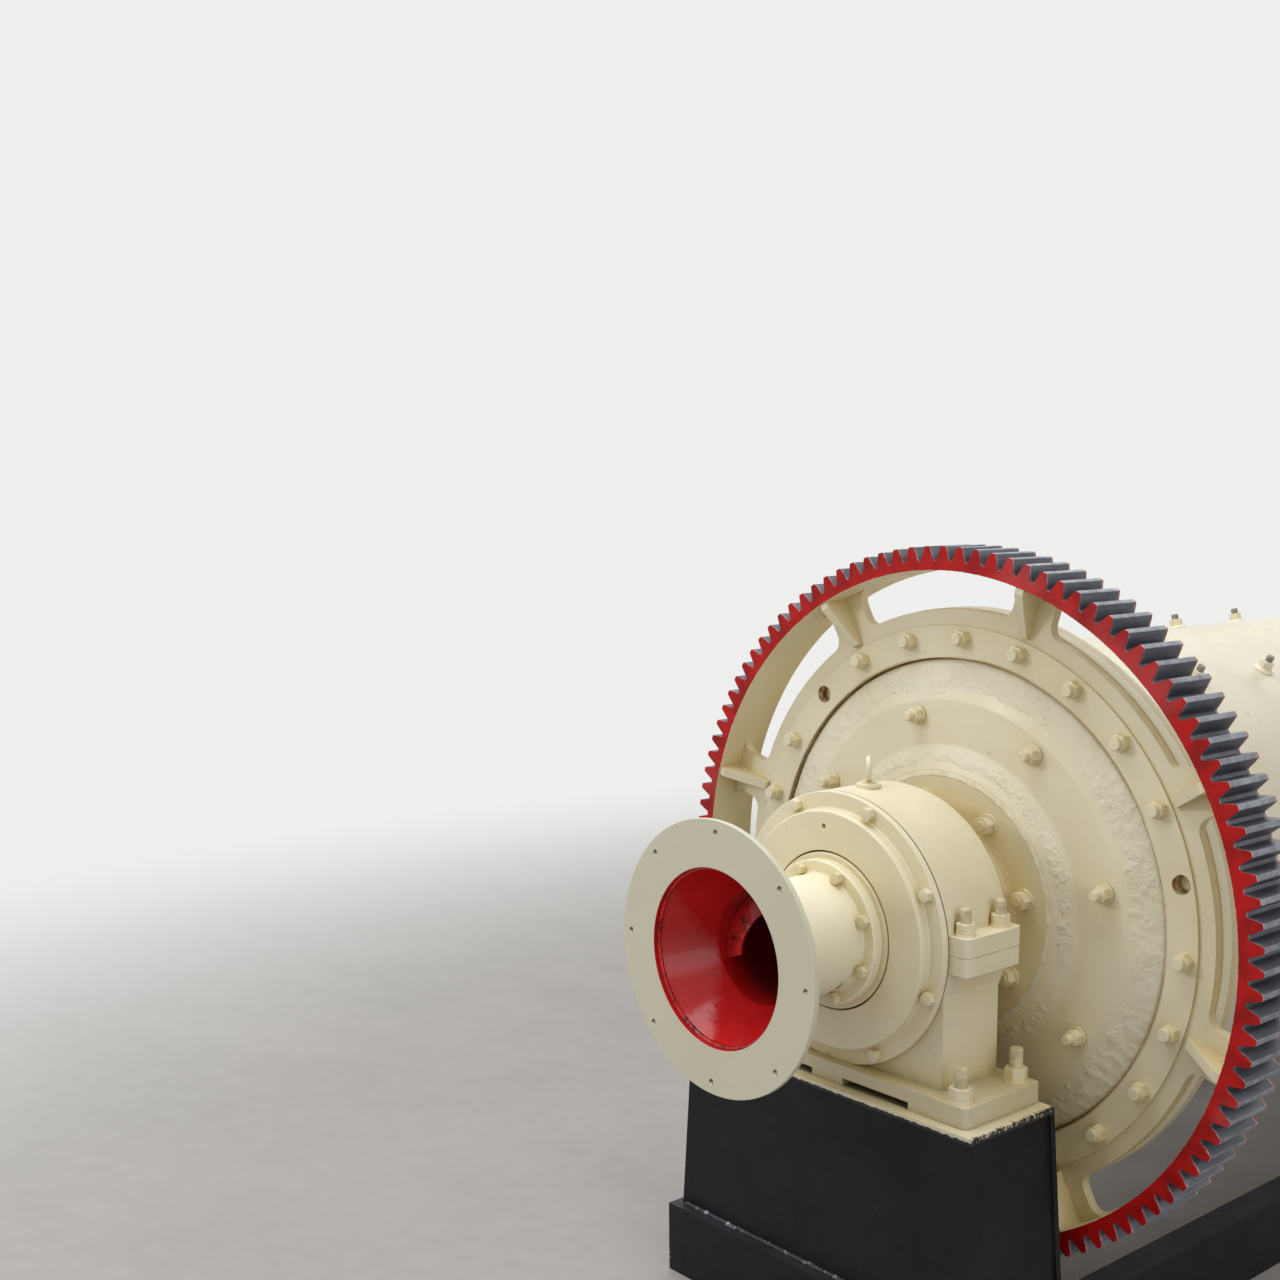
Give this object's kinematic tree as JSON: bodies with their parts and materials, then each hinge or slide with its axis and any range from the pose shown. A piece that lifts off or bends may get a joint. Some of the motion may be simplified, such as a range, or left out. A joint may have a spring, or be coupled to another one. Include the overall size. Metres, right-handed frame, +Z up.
{
  "type": "ball mill",
  "caption": "Small horizontal ball mill: a drum with a toothed girth gear, turning in two trunnion bearings on pedestals over a welded channel base frame.",
  "frame": {"origin": "middle of the base frame, at floor level", "axes": "+Z up, Y along the mill axis with the discharge end and its girth gear at -Y and the feed end at +Y, +X to the right of someone facing the discharge end"},
  "size_m": [1.3438, 3.13, 1.448],
  "materials": {
    "cream_paint": "semi-gloss enamel over castings and plate",
    "black_paint": "satin black enamel",
    "red_paint": "gloss red enamel",
    "gear_steel": "machined cast steel teeth, sides of rim painted red, web painted cream",
    "bearing_steel": "ground steel"
  },
  "bodies": {
    "root": {"left_rail": "black_paint", "right_rail": "black_paint", "discharge_end_beam": "black_paint", "feed_end_beam": "black_paint", "discharge_cross_beam": "black_paint", "feed_cross_beam": "black_paint", "discharge_pedestal": "black_paint", "feed_pedestal": "black_paint", "discharge_sole_plate": "cream_paint", "feed_sole_plate": "cream_paint", "discharge_bearing_base": "cream_paint", "feed_bearing_base": "cream_paint", "discharge_bearing_cap": "cream_paint", "feed_bearing_cap": "cream_paint", "discharge_bearing_ring": "bearing_steel", "feed_bearing_ring": "bearing_steel", "discharge_outer_cover": "cream_paint", "feed_outer_cover": "cream_paint", "discharge_inner_cover": "cream_paint", "feed_inner_cover": "cream_paint", "discharge_cap_bolts": "cream_paint", "feed_cap_bolts": "cream_paint", "discharge_foot_bolts": "cream_paint", "feed_foot_bolts": "cream_paint", "discharge_lifting_eye": "cream_paint", "feed_lifting_eye": "cream_paint"},
    "drum": {"drum_shell": "cream_paint", "discharge_head": "cream_paint", "feed_head": "cream_paint", "girth_gear": "gear_steel", "discharge_trunnion": "cream_paint", "feed_trunnion": "cream_paint", "discharge_trumpet": "cream_paint", "discharge_spiral": "red_paint", "feed_neck": "cream_paint", "feeder_back_plate": "cream_paint", "feeder_rim": "cream_paint", "feeder_front_plate": "cream_paint", "discharge_shell_flange": "cream_paint", "feed_shell_flange": "cream_paint"}
  },
  "joints": [
    {"name": "drum_spin", "type": "hinge", "parent": "root", "child": "drum", "pos_m": [0, 0, 0.776], "axis": [0, 1, 0], "continuous": true}
  ]
}
